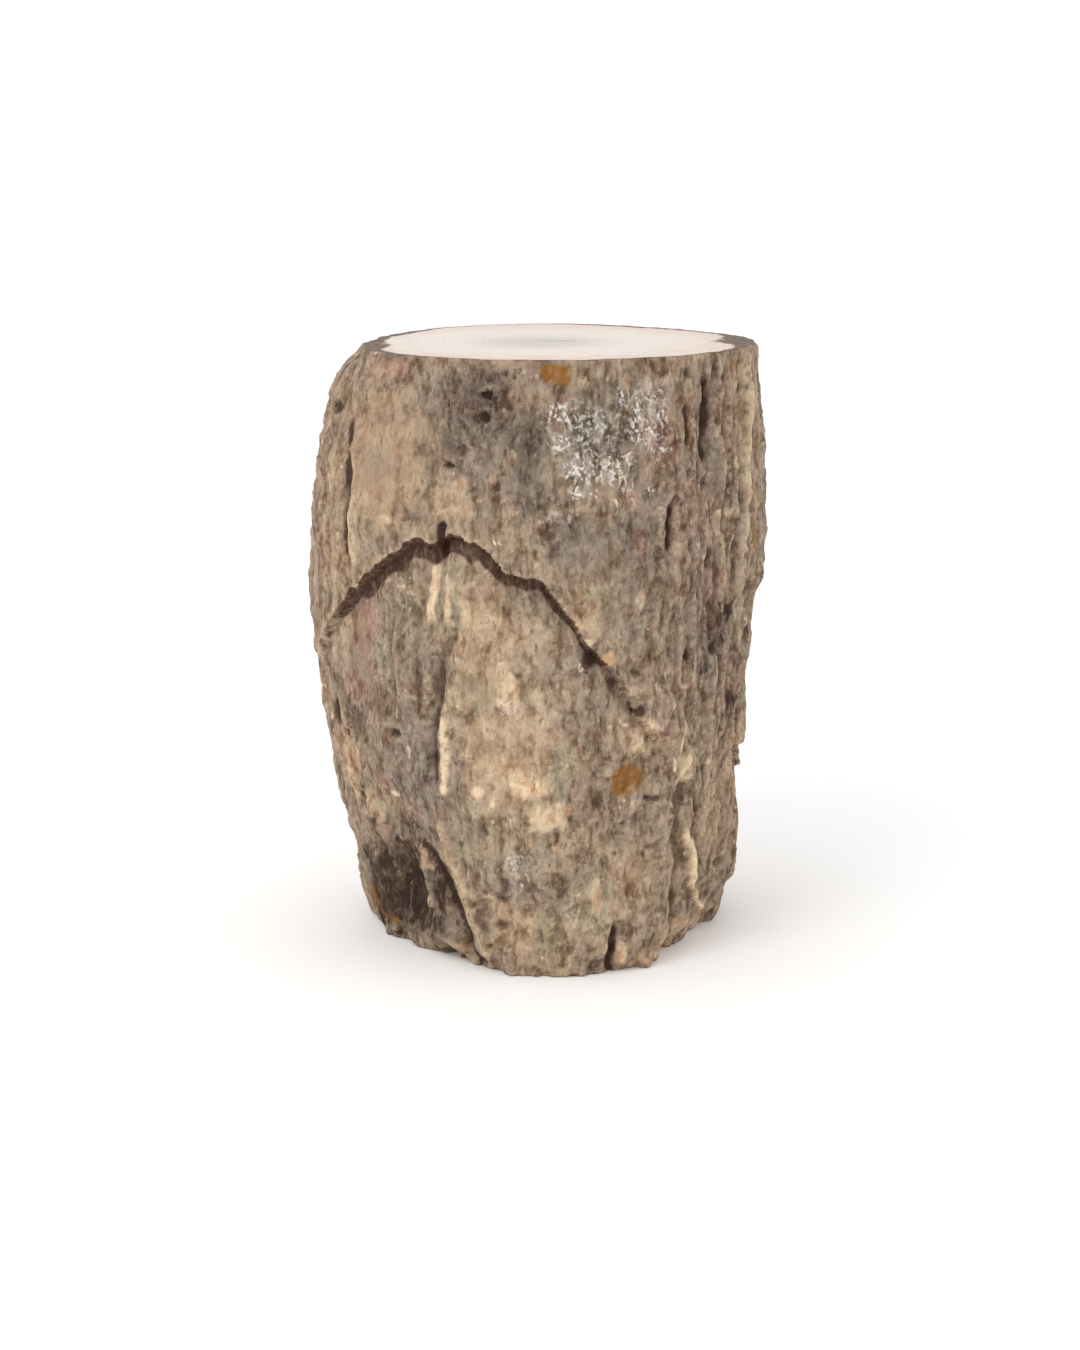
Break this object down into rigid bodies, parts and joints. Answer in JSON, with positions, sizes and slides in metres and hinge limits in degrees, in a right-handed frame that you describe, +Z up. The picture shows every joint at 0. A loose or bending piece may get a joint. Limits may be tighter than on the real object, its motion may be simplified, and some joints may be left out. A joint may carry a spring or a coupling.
{
  "type": "petrified wood stump",
  "caption": "Short log of petrified wood, sawn flat at both ends with a polished top and a rough, broken side, free-standing as a stool or side table.",
  "frame": {"origin": "on the floor under the middle of the log's bounding box", "axes": "+Z up the log from the sawn base to the polished top; the side shown as the front faces -Y"},
  "size_m": [0.3314, 0.3196, 0.43],
  "materials": {
    "petrified_stone": "rough weathered side, polished top"
  },
  "bodies": {
    "root": {"petrified_wood": "petrified_stone"}
  },
  "joints": []
}
